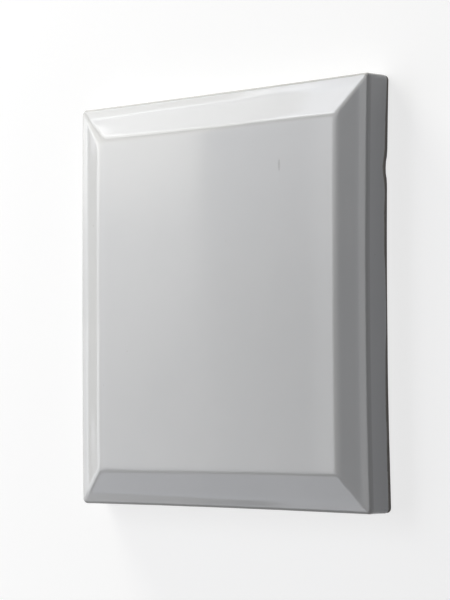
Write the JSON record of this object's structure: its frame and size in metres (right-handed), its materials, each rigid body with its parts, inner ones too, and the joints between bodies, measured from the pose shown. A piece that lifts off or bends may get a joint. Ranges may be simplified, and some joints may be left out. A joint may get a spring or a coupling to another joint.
{
  "type": "bevelled wall tile",
  "caption": "Square glazed ceramic wall tile with a flat raised panel, wide mitred bevels that run out to an easy lip round the rim, and a grooved back for adhesive.",
  "frame": {"origin": "centre of the back, on the plane the tile lies on", "axes": "+Z out of the glazed face, +Y towards the top edge of the tile as laid on a wall, +X to its right as seen from the face"},
  "size_m": [0.15, 0.15, 0.013],
  "materials": {
    "glazed_ceramic": "gloss"
  },
  "bodies": {
    "root": {"bevelled_tile": "glazed_ceramic"}
  },
  "joints": []
}
